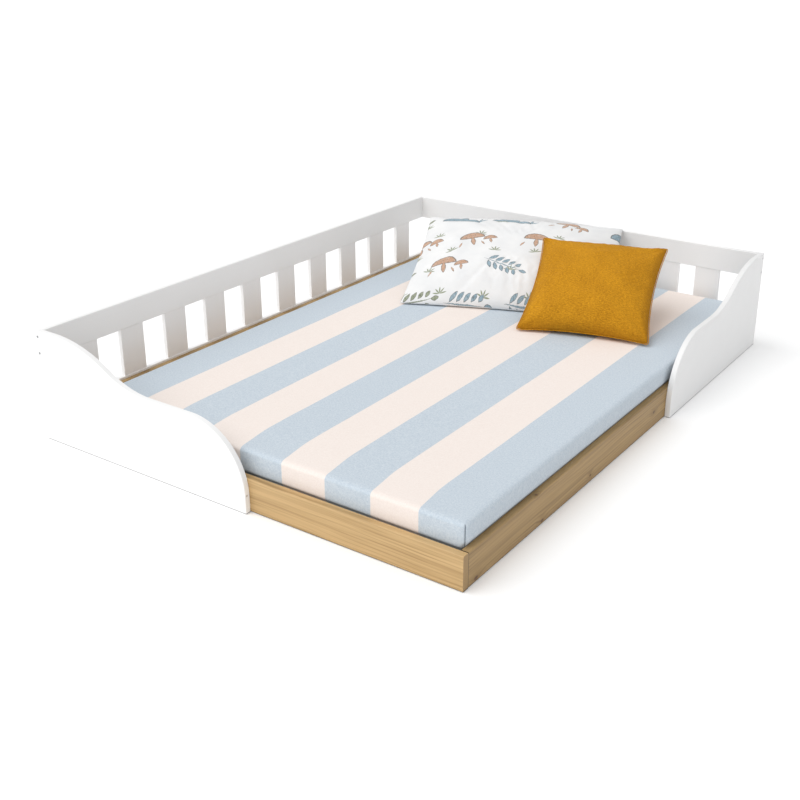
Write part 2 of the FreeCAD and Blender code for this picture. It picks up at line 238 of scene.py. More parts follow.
def whitePaint():
    material, tree, shader = startMaterial("whitePaint")
    place = ownPlace(tree)
    parts = takeApart(tree, place)
    colour = blendColours(tree, mottled(tree, place, 3.0, 3.0), paint["shade"], paint["clean"])
    # painted shade: the paint greys towards the open side, which faces away from the key light
    shadedSide = mapRange(tree, parts[0], *paint["paintedShadeFrom"])
    colour = blendColours(tree, shadedSide, colour, paint["worn"])
    away = doVector(tree, "DISTANCE", place, paint["knotPlace"])
    radius = paint["knotRadius"]
    spot = mapRange(tree, away, radius, radius * 0.4, 0.0, paint["knotShare"])
    colour = blendColours(tree, spot, colour, paint["knot"])
    # painted contact shadow along the foot of each board
    line = paint["contactShadowLine"]
    contactShadow = mapRange(tree, parts[2], line * 2.0, line, 0.0, paint["contactShadowShare"])
    colour = blendColours(tree, contactShadow, colour, paint["foot"])
    tree.links.new(colour, shader.inputs["Base Color"])
    sheen = mapRange(tree, speckle(tree, place, 22.0, 4.0), 0.3, 0.7, *paint["gloss"])
    tree.links.new(sheen, shader.inputs["Roughness"])
    orangePeel = speckle(tree, place, paint["rollerGrain"])  # left by the roller
    addBump(tree, shader, orangePeel, *paint["relief"])
    return material


pine = {
    "foot": ((0.63, 0.425, 0.2, 1.0), (0.335, 0.198, 0.066, 1.0)),  # early wood, late wood
    # painted shade: the side boards get a darker copy of the pine, as they stand in shade
    "side": ((0.44, 0.292, 0.128, 1.0), (0.215, 0.127, 0.041, 1.0)),
    "pale": ((0.74, 0.55, 0.33, 1.0), (0.52, 0.33, 0.155, 1.0)),
    "sawn": ((0.4, 0.26, 0.112, 1.0), (0.23, 0.135, 0.05, 1.0)),
    "knot": (0.12, 0.055, 0.022, 1.0),
    # the dark of the butt joints, and also of the painted contact shadow at the boards' feet
    "gap": (0.03, 0.018, 0.008, 1.0),
    "sideKnots": [  # along, height, depth, radius
        (-0.909, 0.01, 0.717, 0.007),
        (-0.585, 0.01, 0.717, 0.006),
        (-0.309, 0.021, 0.717, 0.0045),
        (-0.615, 0.097, 0.712, 0.0035),
        (0.12, 0.05, 0.717, 0.006),
    ],
    "headKnots": [
        (-0.35, 0.04, 0.967, 0.008),
        (0.22, 0.07, 0.967, 0.007),
        (0.58, 0.03, 0.967, 0.008),
    ],
    "knotStretch": (0.6, 1.0, 0.7),
    "knotBend": 0.009,  # how far the grain bends round a knot
    "haloShare": 0.45,
    "knotShare": 0.85,
    "sway": (2.2, 6.0, 0.02),  # along the grain, across it, and how far the grain wanders
    "ripple": (0.9, 7.0, 0.035),
    "ringsPerMetre": 105.0,
    "ringPower": 4.0,  # narrows the late wood to thin lines
    "layers": {  # stretch along and across the grain, detail, roughness, contrast from and to
        "fading": (3.0, 30.0, 2.0, 0.5, 0.4, 0.6),
        "lines": (1.5, 85.0, 3.0, 0.6, 0.42, 0.64),
        "fibre": (7.0, 620.0, 2.0, 0.6, 0.3, 0.72),
        "drift": (1.2, 20.0, 2.0, 0.5, 0.34, 0.68),
    },
    "shares": {"rings": 0.36, "lines": 0.36, "fibre": 0.2, "drift": 0.2},
    "pith": (0.04, -0.2),  # how far off the middle of a cut end's year rings lies
    "yearsPerMetre": 240.0,
    "cutFacing": (0.6, 0.9),  # how squarely a face looks along the grain, to count as a cut end
    "cutShare": 0.85,
    "gloss": (0.55, 0.45),
    "relief": (0.22, 0.0003),
    "contactShadowLine": (0.004, 0.0022),  # painted contact shadow: a board is darker where it stands on the floor
    "contactShadowShare": 0.75,
    "buttEnd": 0.945,  # where the side boards meet the end boards
    "buttGap": (0.0026, 0.001),  # how far before the butt its dark line begins and is full
    "buttShare": 0.8,
}


def alongGrain(tree, way, lengthwise, crosswise):
    run, rise, deep = way
    return joinUp(tree, times(tree, run, lengthwise), times(tree, rise, crosswise),
                  times(tree, deep, crosswise))


def grainLayer(tree, way, layer):
    lengthwise, crosswise, detail, roughness, low, high = pine["layers"][layer]
    place = alongGrain(tree, way, lengthwise, crosswise)
    return mottled(tree, place, 1.0, detail, roughness, low, high)


def knotSpots(tree, way, knots):
    # a soft halo round each knot and the dark knot itself
    run, rise, deep = way
    place = joinUp(tree, run, rise, doMath(tree, "ABSOLUTE", deep))
    halos, cores = [], []
    for along, height, depth, radius in knots:
        offset = doVector(tree, "SUBTRACT", place, (along, height, depth))
        far = doVector(tree, "LENGTH", stretched(tree, offset, pine["knotStretch"]))
        halos.append(mapRange(tree, far, radius * 4.5, 0.0))
        cores.append(mapRange(tree, far, radius, radius * 0.5))
    return summed(tree, *halos), union(tree, cores)


def yearRings(tree, across, into):
    offAcross, offInto = pine["pith"]
    fromPith = joinUp(tree, summed(tree, across, offAcross), summed(tree, into, offInto))
    rings = wave(tree, doVector(tree, "LENGTH", fromPith), pine["yearsPerMetre"])
    return blendColours(tree, mapRange(tree, rings, -1.0, 1.0), *pine["sawn"])


def lateWood(tree, way):
    lengthwise, crosswise, reach = pine["ripple"]
    ripple = speckle(tree, alongGrain(tree, way, lengthwise, crosswise), 1.0)
    rings = wave(tree, summed(tree, way[1], times(tree, ripple, reach)), pine["ringsPerMetre"])
    return doMath(tree, "POWER", mapRange(tree, rings, -1.0, 1.0), pine["ringPower"])


def pineWood(name, axes, tones, knots=(), buttEnd=None):
    # axes: which coordinate runs along the grain, which across the face, and which into the wood
    material, tree, shader = startMaterial(name)
    parts = takeApart(tree, ownPlace(tree))
    run, face, deep = [parts[axis] for axis in axes]
    light, dark = tones
    lengthwise, crosswise, reach = pine["sway"]
    swayPlace = joinUp(tree, times(tree, run, lengthwise), times(tree, face, crosswise))
    rise = summed(tree, face, times(tree, speckle(tree, swayPlace, 1.0), reach))
    if knots:
        halo, core = knotSpots(tree, (run, face, deep), knots)
        rise = summed(tree, rise, times(tree, halo, pine["knotBend"]))
    way = (run, rise, deep)
    layers = {layer: grainLayer(tree, way, layer) for layer in pine["layers"]}
    layers["rings"] = times(tree, lateWood(tree, way), layers["fading"])
    weighed = [times(tree, layers[layer], share) for layer, share in pine["shares"].items()]
    tone = summed(tree, *weighed)
    colour = blendColours(tree, tone, light, dark)
    if knots:
        colour = blendColours(tree, times(tree, halo, pine["haloShare"]), colour, dark)
        colour = blendColours(tree, times(tree, core, pine["knotShare"]), colour, pine["knot"])
    facing = takeApart(tree, tree.nodes.new("ShaderNodeTexCoord").outputs["Normal"])
    cutEnd = mapRange(tree, doMath(tree, "ABSOLUTE", facing[axes[0]]), *pine["cutFacing"])
    cutEnd = times(tree, cutEnd, pine["cutShare"])
    colour = blendColours(tree, cutEnd, colour, yearRings(tree, face, deep))
    # painted contact shadow at the foot of each board
    contactShadow = mapRange(tree, parts[2], *pine["contactShadowLine"], 0.0, pine["contactShadowShare"])
    colour = blendColours(tree, contactShadow, colour, pine["gap"])
    if buttEnd is not None:
        farGap, nearGap = pine["buttGap"]
        joint = mapRange(tree, doMath(tree, "ABSOLUTE", run), buttEnd - farGap, buttEnd - nearGap,
                         0.0, pine["buttShare"])
        colour = blendColours(tree, joint, colour, pine["gap"])
    tree.links.new(colour, shader.inputs["Base Color"])
    tree.links.new(mapRange(tree, tone, 0.0, 1.0, *pine["gloss"]), shader.inputs["Roughness"])
    relief = summed(tree, layers["fibre"], layers["lines"], layers["rings"])
    addBump(tree, shader, relief, *pine["relief"])
    return material


zinc = {
    "dull": (0.36, 0.36, 0.37, 1.0),
    "bright": (0.56, 0.56, 0.57, 1.0),
    "gloss": (0.28, 0.45),
}


def zincSteel():
    material, tree, shader = startMaterial("zincSteel")
    place = ownPlace(tree)
    colour = blendColours(tree, mottled(tree, place, 900.0, 3.0), zinc["dull"], zinc["bright"])
    tree.links.new(colour, shader.inputs["Base Color"])
    shader.inputs["Metallic"].default_value = 1.0
    worn = mapRange(tree, speckle(tree, place, 400.0), 0.3, 0.7, *zinc["gloss"])
    tree.links.new(worn, shader.inputs["Roughness"])
    return material


stripes = {
    "lastEdge": 0.7015,  # where the blue stripe at the open side would end
    "lastRoom": 0.012,  # from this far before that edge on, the sheet stays blue
    "width": 0.1422,
    "ragged": 0.0007,  # how unevenly a stripe ends
    "pull": 0.011,  # how far the cloth is drawn towards the near corner
    "pullFrom": (-0.8, -0.95),  # in Y, where the pull begins and where it is full
    "blue": (0.65, 0.71, 0.76, 1.0),
    "blueDeep": (0.46, 0.54, 0.62, 1.0),
    "cream": (0.91, 0.83, 0.78, 1.0),
    "creamDeep": (0.84, 0.75, 0.695, 1.0),
    # the dark of the corner seams' thread, also used for the painted shade band
    "thread": (0.07, 0.095, 0.125, 1.0),
    "seamHalf": 0.0011,
    "seamShare": 0.85,
    "seamFade": 0.004,
    "shadeShare": 0.55,
    "shadeDepths": (0.005, 0.008, 0.012),  # depths of the painted shade below the board's top: full, still full, gone
    "threadsPerMetre": 830.0,
    "relief": (0.2, 0.0005),
    "finish": {
        "Roughness": 0.92,
        "Specular IOR Level": 0.25,
        "Sheen Weight": 0.1,
        "Sheen Roughness": 0.5,
    },
}


def cornerSeam(tree, parts, middle, cornerFrom, seamTop):
    # the dark seam that runs down each rounded corner, on the line halfway round it
    pastX = minus(tree, offCentre(tree, parts[0], middle[0]), cornerFrom[0])
    pastY = minus(tree, offCentre(tree, parts[1], middle[1]), cornerFrom[1])
    half = stripes["seamHalf"]
    seam = mapRange(tree, offCentre(tree, pastX, pastY), half * 2.0, half, 0.0, stripes["seamShare"])
    atCorner = doMath(tree, "GREATER_THAN", doMath(tree, "MINIMUM", pastX, pastY), 0.0)
    below = mapRange(tree, parts[2], seamTop, seamTop - stripes["seamFade"])
    return times(tree, times(tree, seam, atCorner), below)


def paintedShadeBand(tree, parts, boardTop, wallSide):
    # painted shade: a thin dark line on the sheet, just below the boards' tops, in the gap where it
    # meets them
    full, fading, gone = [boardTop - depth for depth in stripes["shadeDepths"]]
    band = mapRange(tree, parts[2], boardTop, full, 0.0, stripes["shadeShare"])
    band = times(tree, band, mapRange(tree, parts[2], gone, fading))
    return times(tree, band, doMath(tree, "GREATER_THAN", parts[0], wallSide))


def stripedCotton(middle, cornerFrom, seamTop, boardTop, wallSide):
    # middle, cornerFrom: the sheet's centre in X and Y, and how far from it the rounded corners begin
    # wallSide: the X up to which there is no board beside the sheet, so that no painted shade is drawn
    # there
    material, tree, shader = startMaterial("stripedCotton")
    place = ownPlace(tree)
    parts = takeApart(tree, place)
    uneven = stripes["ragged"]
    ragged = mapRange(tree, speckle(tree, place, 700.0), 0.0, 1.0, -uneven, uneven, False)
    pulled = mapRange(tree, parts[1], *stripes["pullFrom"], 0.0, -stripes["pull"])
    across = doMath(tree, "MINIMUM", parts[0], stripes["lastEdge"] - stripes["lastRoom"])
    count = minus(tree, stripes["lastEdge"], summed(tree, across, ragged, pulled))
    swing = wave(tree, count, 0.5 / stripes["width"])
    isCream = minus(tree, 1.0, mapRange(tree, swing, -0.02, 0.02))
    heather = mottled(tree, place, 210.0, 4.0, 0.75, 0.32, 0.68)
    fleck = mottled(tree, place, 620.0, 2.0, 0.6, 0.35, 0.65)
    mottle = summed(tree, times(tree, heather, 0.6), times(tree, fleck, 0.4))
    blue = blendColours(tree, mottle, stripes["blueDeep"], stripes["blue"])
    cream = blendColours(tree, mottle, stripes["creamDeep"], stripes["cream"])
    colour = blendColours(tree, isCream, blue, cream)
    seam = cornerSeam(tree, parts, middle, cornerFrom, seamTop)
    colour = blendColours(tree, seam, colour, stripes["thread"])
    # painted shade in the gap between the sheet and the boards
    colour = blendColours(tree, paintedShadeBand(tree, parts, boardTop, wallSide), colour, stripes["thread"])
    tree.links.new(colour, shader.inputs["Base Color"])
    setFinish(shader, stripes["finish"])
    weave = wovenThreads(tree, parts, stripes["threadsPerMetre"])
    addBump(tree, shader, summed(tree, weave, mottle), *stripes["relief"])
    return material


printed = {
    "ground": (0.83, 0.83, 0.828, 1.0),
    "groundShade": (0.775, 0.78, 0.785, 1.0),
    "sage": (0.2, 0.235, 0.12, 1.0),
    "blue": (0.17, 0.3, 0.38, 1.0),
    "tan": (0.5, 0.25, 0.12, 1.0),
    "ink": (0.03, 0.032, 0.022, 1.0),
    "motifs": {"cell": (0.215, 0.155), "shift": (0.05, 0.045), "seed": 5.0},
    "sprigs": {"cell": (0.15, 0.107), "shift": (0.123, 0.112), "seed": 8.0},
    "nudge": 0.16,  # share of a cell by which a motif is moved at random
    "tilt": 0.4,  # how far it is turned either way, in radians
    "branchBelow": 0.42,  # a cell's second random number picks its motif
    "pebblesAbove": 0.72,
    "sprigAbove": 0.3,
    "sageAbove": 0.45,
    "leafEdge": 0.36,  # how softly the paint of a leaf and of a cap ends
    "capEdge": 0.16,
    "wobble": 0.004,
    "washShare": 0.26,
    "hatchShare": 0.6,
    "motifShare": 0.92,
    "sprigShare": 0.85,
    "threadsPerMetre": 1100.0,
    "relief": (0.08, 0.0003),
    "finish": {"Roughness": 0.85, "Specular IOR Level": 0.3, "Sheen Weight": 0.08},
}


def leafShape(tree, vector, centre, turn, length, width):
    # a pointed leaf, turned by so many degrees
    moved = addNode(tree, "Mapping", {
        "Vector": vector,
        "Location": (centre[0], centre[1], 0.0),
        "Rotation": (0.0, 0.0, math.radians(turn)),
        "Scale": (length / 2.0, width / 2.0, 1.0),
    }, vector_type="TEXTURE").outputs[0]
    parts = takeApart(tree, moved)
    bow = minus(tree, 1.0, times(tree, parts[0], parts[0]))
    inside = minus(tree, bow, doMath(tree, "ABSOLUTE", parts[1]))
    return mapRange(tree, inside, 0.0, printed["leafEdge"])


def capShape(tree, vector, centre, length, width):
    # the domed upper part of an oval
    moved = doVector(tree, "SUBTRACT", vector, (centre[0], centre[1], 0.0))
    parts = takeApart(tree, doVector(tree, "DIVIDE", moved, (length / 2.0, width, 1.0)))
    fromMiddle = doVector(tree, "LENGTH", joinUp(tree, parts[0], parts[1]))
    inside = minus(tree, 1.0, fromMiddle)
    inside = doMath(tree, "MINIMUM", inside, summed(tree, parts[1], 0.05))
    return mapRange(tree, inside, 0.0, printed["capEdge"])


def union(tree, shapes):
    whole = shapes[0]
    for shape in shapes[1:]:
        whole = doMath(tree, "MAXIMUM", whole, shape)
    return whole


def inkLine(tree, shape):
    # strongest where a soft-edged shape fades out, so it draws the outline
    return minus(tree, 1.0, offCentre(tree, times(tree, shape, 2.0), 1.0))


def cellPlace(tree, uv, layer):
    # splits the cloth into bricks: gives the place inside a brick, turned at random,
    # and three random numbers for that brick
    width, height = layer["cell"]
    moved = doVector(tree, "ADD", uv, (layer["shift"][0], layer["shift"][1], 0.0))
    parts = takeApart(tree, doVector(tree, "DIVIDE", moved, (width, height, 1.0)))
    row = doMath(tree, "FLOOR", parts[1])
    positiveRow = summed(tree, row, 40.0)
    half = times(tree, doMath(tree, "MODULO", positiveRow, 2.0), 0.5)
    column = summed(tree, parts[0], half)
    inX = times(tree, minus(tree, doMath(tree, "FRACT", column), 0.5), width)
    inY = times(tree, minus(tree, doMath(tree, "FRACT", parts[1]), 0.5), height)
    index = joinUp(tree, doMath(tree, "FLOOR", column), row, layer["seed"])
    chance = addNode(tree, "TexWhiteNoise", {"Vector": index}, noise_dimensions="3D").outputs["Color"]
    picks = takeApart(tree, chance)
    reach = (width * printed["nudge"], height * printed["nudge"], 0.0)
    nudge = stretched(tree, doVector(tree, "SUBTRACT", chance, (0.5, 0.5, 0.5)), reach)
    local = doVector(tree, "SUBTRACT", joinUp(tree, inX, inY), nudge)
    turn = mapRange(tree, picks[2], 0.0, 1.0, -printed["tilt"], printed["tilt"], False)
    spun = addNode(tree, "VectorRotate", {"Vector": local, "Angle": turn}, rotation_type="Z_AXIS")
    return spun.outputs[0], picks


def branchShape(tree, local):
    leaves = [leafShape(tree, local, (0.0, 0.0), 0.0, 0.165, 0.0045)]  # the stalk
    for pair in range(5):
        x = -0.056 + 0.025 * pair
        length = 0.044 - 0.004 * pair
        for side in (1.0, -1.0):
            centre = (x + 0.012, side * 0.019)
            leaves.append(leafShape(tree, local, centre, side * 52.0, length, 0.0165))
    leaves.append(leafShape(tree, local, (0.083, 0.0), 0.0, 0.034, 0.016))
    return union(tree, leaves)


def mushroomShape(tree, local):
    return union(tree, [
        capShape(tree, local, (-0.02, 0.0), 0.1, 0.042),
        leafShape(tree, local, (-0.02, -0.02), 90.0, 0.06, 0.02),
        capShape(tree, local, (0.045, -0.02), 0.056, 0.026),
        leafShape(tree, local, (0.045, -0.032), 90.0, 0.036, 0.012),
        leafShape(tree, local, (-0.07, -0.036), 60.0, 0.034, 0.008),
        leafShape(tree, local, (0.014, -0.04), 110.0, 0.032, 0.008),
    ])


def pebbleShape(tree, local):
    return union(tree, [
        capShape(tree, local, (-0.036, -0.02), 0.09, 0.045),
        capShape(tree, local, (0.036, -0.022), 0.08, 0.034),
        capShape(tree, local, (0.0, -0.018), 0.05, 0.058),
        leafShape(tree, local, (0.084, 0.002), 60.0, 0.05, 0.009),
        leafShape(tree, local, (0.072, 0.006), 95.0, 0.055, 0.009),
    ])


def sprigShape(tree, local):
    # five small leaves in a fan
    leaves = []
    for angle in (10.0, 50.0, 90.0, 130.0, 170.0):
        turn = math.radians(angle)
        centre = (0.013 * math.cos(turn), 0.013 * math.sin(turn))
        leaves.append(leafShape(tree, local, centre, angle, 0.028, 0.0062))
    return union(tree, leaves)


def pickShape(tree, share, first, second):
    return addNode(tree, "Mix", {0: share, 2: first, 3: second}).outputs[0]


def printedCotton():
    material, tree, shader = startMaterial("printedCotton")
    uv = clothPlace(tree)
    local, picks = cellPlace(tree, uv, printed["motifs"])
    wires = {"Vector": uv, "Scale": 120.0, "Detail": 2.0}
    wobble = addNode(tree, "TexNoise", wires).outputs["Color"]
    wobble = doVector(tree, "SUBTRACT", wobble, (0.5, 0.5, 0.5))
    wobble = stretched(tree, wobble, (printed["wobble"], printed["wobble"], 0.0))
    local = doVector(tree, "ADD", local, wobble)
    isBranch = doMath(tree, "LESS_THAN", picks[1], printed["branchBelow"])
    isPebbles = doMath(tree, "GREATER_THAN", picks[1], printed["pebblesAbove"])
    motif = pickShape(tree, isBranch, mushroomShape(tree, local), branchShape(tree, local))
    motif = pickShape(tree, isPebbles, motif, pebbleShape(tree, local))
    sprigPlace, sprigPicks = cellPlace(tree, uv, printed["sprigs"])
    hasSprig = doMath(tree, "GREATER_THAN", sprigPicks[1], printed["sprigAbove"])
    sprig = times(tree, sprigShape(tree, sprigPlace), hasSprig)
    sprig = times(tree, sprig, doMath(tree, "LESS_THAN", motif, 0.03))
    wash = mottled(tree, uv, 90.0, 4.0, 0.65, 0.25, 0.75)  # watery paint
    isSage = doMath(tree, "GREATER_THAN", picks[0], printed["sageAbove"])
    leafTone = blendColours(tree, isSage, printed["blue"], printed["sage"])
    tone = blendColours(tree, isBranch, printed["tan"], leafTone)
    tone = blendColours(tree, isPebbles, tone, printed["blue"])
    tone = blendColours(tree, times(tree, wash, printed["washShare"]), tone, printed["ground"])
    hatchPlace = stretched(tree, local, (330.0, 80.0, 1.0))
    hatch = mottled(tree, hatchPlace, 1.0, 1.0, 0.5, 0.56, 0.66)
    tone = blendColours(tree, times(tree, hatch, printed["hatchShare"]), tone, printed["ink"])
    shade = mottled(tree, uv, 12.0)
    colour = blendColours(tree, shade, printed["groundShade"], printed["ground"])
    colour = blendColours(tree, times(tree, motif, printed["motifShare"]), colour, tone)
    colour = blendColours(tree, inkLine(tree, motif), colour, printed["ink"])
    colour = blendColours(tree, times(tree, sprig, printed["sprigShare"]), colour, printed["sage"])
    tree.links.new(colour, shader.inputs["Base Color"])
    setFinish(shader, printed["finish"])
    weave = wovenThreads(tree, takeApart(tree, uv), printed["threadsPerMetre"])
    addBump(tree, shader, weave, *printed["relief"])
    return material


mustard = {
    "light": (0.74, 0.35, 0.018, 1.0),
    "dark": (0.3, 0.118, 0.004, 1.0),
    "warp": (820.0, 30.0, 30.0),
    "weft": (30.0, 820.0, 820.0),
    "crossed": (110.0, 360.0, 360.0),
    "shares": (0.25, 0.34, 0.34, 0.14),  # of threads, nap, crossed threads and cloud
    "paintedEdgeShade": (0.034, 0.001),  # painted shade: the cloth is darker from here to the seam, where the cushion turns away from the light
    "seamShare": 0.5,
    "relief": (0.4, 0.0009),
    "finish": {
        "Roughness": 0.85,
        "Specular IOR Level": 0.12,
        "Sheen Weight": 0.12,
        "Sheen Roughness": 0.4,
        "Sheen Tint": (0.95, 0.55, 0.08, 1.0),
    },
}


def mustardWeave(name, placeOf, panelHalf=None):
    # panelHalf: half the cut panel's side, where the cloth has a cut map
    material, tree, shader = startMaterial(name)
    place = placeOf(tree)
    warp, weft = [speckle(tree, stretched(tree, place, mustard[way]), 1.0, 3.0, 0.6)
                  for way in ("warp", "weft")]
    threads = mapRange(tree, summed(tree, warp, weft), 0.74, 1.26)
    nap = mottled(tree, place, 340.0, 2.0, 0.6, 0.34, 0.66)
    crossedPlace = stretched(tree, place, mustard["crossed"])
    crossed = mottled(tree, crossedPlace, 1.0, 1.0, 0.5, 0.34, 0.66)
    cloud = mottled(tree, place, 10.0)
    layers = zip((threads, nap, crossed, cloud), mustard["shares"])
    tone = summed(tree, *[times(tree, layer, share) for layer, share in layers])
    colour = blendColours(tree, tone, mustard["dark"], mustard["light"])
    # painted shade towards the seams, where the cushion's sides turn away from the light
    if panelHalf is not None:
        parts = takeApart(tree, place)
        fromMiddle = [offCentre(tree, parts[k], cutMap["middle"][k]) for k in range(2)]
        toSeam = offCentre(tree, panelHalf, doMath(tree, "MAXIMUM", *fromMiddle))
        seam = mapRange(tree, toSeam, *mustard["paintedEdgeShade"], 0.0, mustard["seamShare"])
        colour = blendColours(tree, seam, colour, mustard["dark"])
    tree.links.new(colour, shader.inputs["Base Color"])
    setFinish(shader, mustard["finish"])
    addBump(tree, shader, summed(tree, threads, nap, crossed), *mustard["relief"])
    return material


padding = {  # low and high colour, cells to the metre
    "openCellFoam": ((0.8, 0.72, 0.5, 1.0), (0.9, 0.84, 0.66, 1.0), 260.0),
    "fibreFilling": ((0.82, 0.82, 0.8, 1.0), (0.93, 0.93, 0.92, 1.0), 320.0),
}


def palePadding(name):
    low, high, scale = padding[name]
    material, tree, shader = startMaterial(name)
    wires = {"Vector": ownPlace(tree), "Scale": scale}
    cells = addNode(tree, "TexVoronoi", wires).outputs["Distance"]
    colour = blendColours(tree, mapRange(tree, cells, 0.0, 0.7), low, high)
    tree.links.new(colour, shader.inputs["Base Color"])
    shader.inputs["Roughness"].default_value = 0.95
    addBump(tree, shader, cells, 0.3, 0.001)
    return material


def clearSelection():
    if bpy.context.object is not None and bpy.context.object.mode != "OBJECT":
        bpy.ops.object.mode_set(mode="OBJECT")
    bpy.ops.object.select_all(action="DESELECT")


def pickUp(*pieces):
    clearSelection()
    bpy.context.view_layer.objects.active = pieces[0]
    for piece in pieces:
        piece.select_set(True)


def settle(piece):
    pickUp(piece)
    bpy.ops.object.transform_apply(location=True, rotation=True, scale=True)


def applyAll(piece):
    pickUp(piece)
    for modifier in list(piece.modifiers):
        bpy.ops.object.modifier_apply(modifier=modifier.name)


def editAll(piece):
    pickUp(piece)
    bpy.ops.object.mode_set(mode="EDIT")
    bpy.ops.mesh.select_all(action="SELECT")


def subdivideOnce(piece):
    pickUp(piece)
    bpy.ops.object.modifier_add(type="SUBSURF")
    piece.modifiers[-1].levels = 1
    piece.modifiers[-1].render_levels = 1
    applyAll(piece)


def thicken(piece, thickness):
    pickUp(piece)
    bpy.ops.object.modifier_add(type="SOLIDIFY")
    piece.modifiers[-1].thickness = thickness
    piece.modifiers[-1].offset = -1.0
    applyAll(piece)


def smoothAll(piece):
    pickUp(piece)
    bpy.ops.object.shade_smooth()


def finishPiece(piece, body, material, nodes=()):
    piece.data.materials.clear()
    piece.data.materials.append(material)
    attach(piece, body)
    if nodes:
        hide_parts(*nodes)


def dressNode(name, material):
    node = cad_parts[name]
    node.data.materials.clear()
    node.data.materials.append(material)


def dressBoards():
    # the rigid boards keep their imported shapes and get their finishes
    white = whitePaint()
    footPine = pineWood("pineFootBoard", (0, 2, 1), pine["foot"])
    headPine = pineWood("pineHeadBoard", (0, 2, 1), pine["foot"], pine["headKnots"])
    # the side boards' darker pine is painted shade
    shadedSidePine = pineWood("pineSideBoardsShaded", (1, 2, 0), pine["side"], pine["sideKnots"], pine["buttEnd"])
    uprightPine = pineWood("pineUpright", (2, 0, 1), pine["pale"])
    slatPine = pineWood("pineSlats", (0, 1, 2), pine["pale"])
    bearerPine = pineWood("pineBearers", (1, 0, 2), pine["pale"])
    finishes = {  # by how the boards' names begin
        ("wall_rail", "head_rail", "foot_guard", "side_guard"): white,
        ("wall_side_ledger", "open_side_ledger", "centre_beam"): bearerPine,
        ("corner_block",): uprightPine,
        ("base_slat",): slatPine,
        ("wall_side_board", "open_side_board"): shadedSidePine,
        ("foot_board",): footPine,
        ("head_board",): headPine,
    }
    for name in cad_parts:
        for begins, material in finishes.items():
            if name.startswith(begins) and not name.endswith("screws"):
                dressNode(name, material)
    print("boards dressed")


screw = {
    "sides": 24,
    "tipRadius": 0.0003,
    "headRadius": 0.004,
    "rimDepth": 0.0003,
    "headDepth": 0.0026,
    "shankRadius": 0.0016,
    "threadRadius": 0.0021,
    "pitch": 0.003,
    "turn": [  # one turn of the thread, by shares of the pitch
        ("threadRadius", 0.4),
        ("shankRadius", 0.2),
        ("shankRadius", 0.4),
    ],
    "plainLength": 0.014,
    "tipLength": 0.006,
    "driveRadius": 0.0021,
    "driveDepth": 0.0016,
    "driveTaper": 0.92,
    "driveReach": 0.0001,
    "lobes": 6,
    "lobeShare": 0.2,
    "weld": 0.00001,
    "endBand": 0.0005,  # depth of the slice at each end in which a packed screw's head is looked for
    "sharpFrom": 35.0,  # degrees
    "groups": ["guard_panel_screws", "corner_block_screws", "ledger_screws", "board_to_rail_screws"],
}


def growTo(radius, height, last):
    # pulls the selected cap along Z and widens or narrows it
    bpy.ops.mesh.extrude_region_move(TRANSFORM_OT_translate={"value": (0.0, 0.0, height - last[1])})
    share = radius / last[0]
    bpy.ops.transform.resize(value=(share, share, 1.0))
    return radius, height


def pinchDrive(made):
    # draws the round recess in to a lobed one
    reach = screw["driveReach"]
    for vertex in made.data.vertices:
        radius = math.hypot(vertex.co[0], vertex.co[1])
        if vertex.co[2] > -screw["driveDepth"] - reach and radius < screw["driveRadius"] + reach:
            turn = math.atan2(vertex.co[1], vertex.co[0])
            pinch = 1.0 - screw["lobeShare"] * (0.5 - 0.5 * math.cos(screw["lobes"] * turn))
            vertex.co[0] *= pinch
            vertex.co[1] *= pinch


def makeScrew(length):
    # a countersunk wood screw with its head's top at z = 0 and its tip below
    clearSelection()
    bpy.ops.mesh.primitive_circle_add(vertices=screw["sides"], radius=screw["tipRadius"],
                                      fill_type="NGON", location=(0.0, 0.0, -length))
    made = bpy.context.object
    settle(made)
    editAll(made)
    last = growTo(screw["shankRadius"], screw["tipLength"] - length, (screw["tipRadius"], -length))
    while last[1] + screw["pitch"] < -screw["plainLength"]:
        for radiusName, share in screw["turn"]:
            last = growTo(screw[radiusName], last[1] + share * screw["pitch"], last)
    last = growTo(screw["shankRadius"], -screw["headDepth"], last)
    last = growTo(screw["headRadius"], -screw["rimDepth"], last)
    last = growTo(screw["headRadius"], 0.0, last)
    last = growTo(screw["driveRadius"], 0.0, last)
    growTo(screw["driveRadius"] * screw["driveTaper"], -screw["driveDepth"], last)
    bpy.ops.mesh.select_all(action="SELECT")
    bpy.ops.mesh.normals_make_consistent(inside=False)
    bpy.ops.object.mode_set(mode="OBJECT")
    pinchDrive(made)
    return made


def screwPlace(corners):
    # the middle of the head's top, the way in and the length, told from a packed screw's corners
    low = Vector([min(corner[k] for corner in corners) for k in range(3)])
    high = Vector([max(corner[k] for corner in corners) for k in range(3)])
    size = high - low
    head = (low + high) / 2.0
    axis = max(range(3), key=lambda k: size[k])
    side = (axis + 1) % 3
    band = screw["endBand"]
    atLow = [abs(c[side] - head[side]) for c in corners if c[axis] < low[axis] + band]
    atHigh = [abs(c[side] - head[side]) for c in corners if c[axis] > high[axis] - band]
    headIsLow = max(atLow) > max(atHigh)
    head[axis] = low[axis] if headIsLow else high[axis]
    wayIn = Vector((0.0, 0.0, 0.0))
    wayIn[axis] = 1.0 if headIsLow else -1.0
    return head, wayIn, size[axis]


def screwPlaces(nodeName):
    pickUp(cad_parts[nodeName])
    bpy.ops.object.duplicate()
    group = bpy.context.object
    editAll(group)
    bpy.ops.mesh.remove_doubles(threshold=screw["weld"])
    bpy.ops.mesh.separate(type="LOOSE")
    bpy.ops.object.mode_set(mode="OBJECT")
    pieces = list(bpy.context.selected_objects)
    places = [screwPlace([vertex.co.copy() for vertex in piece.data.vertices]) for piece in pieces]
    pickUp(*pieces)
    bpy.ops.object.delete()
    return places


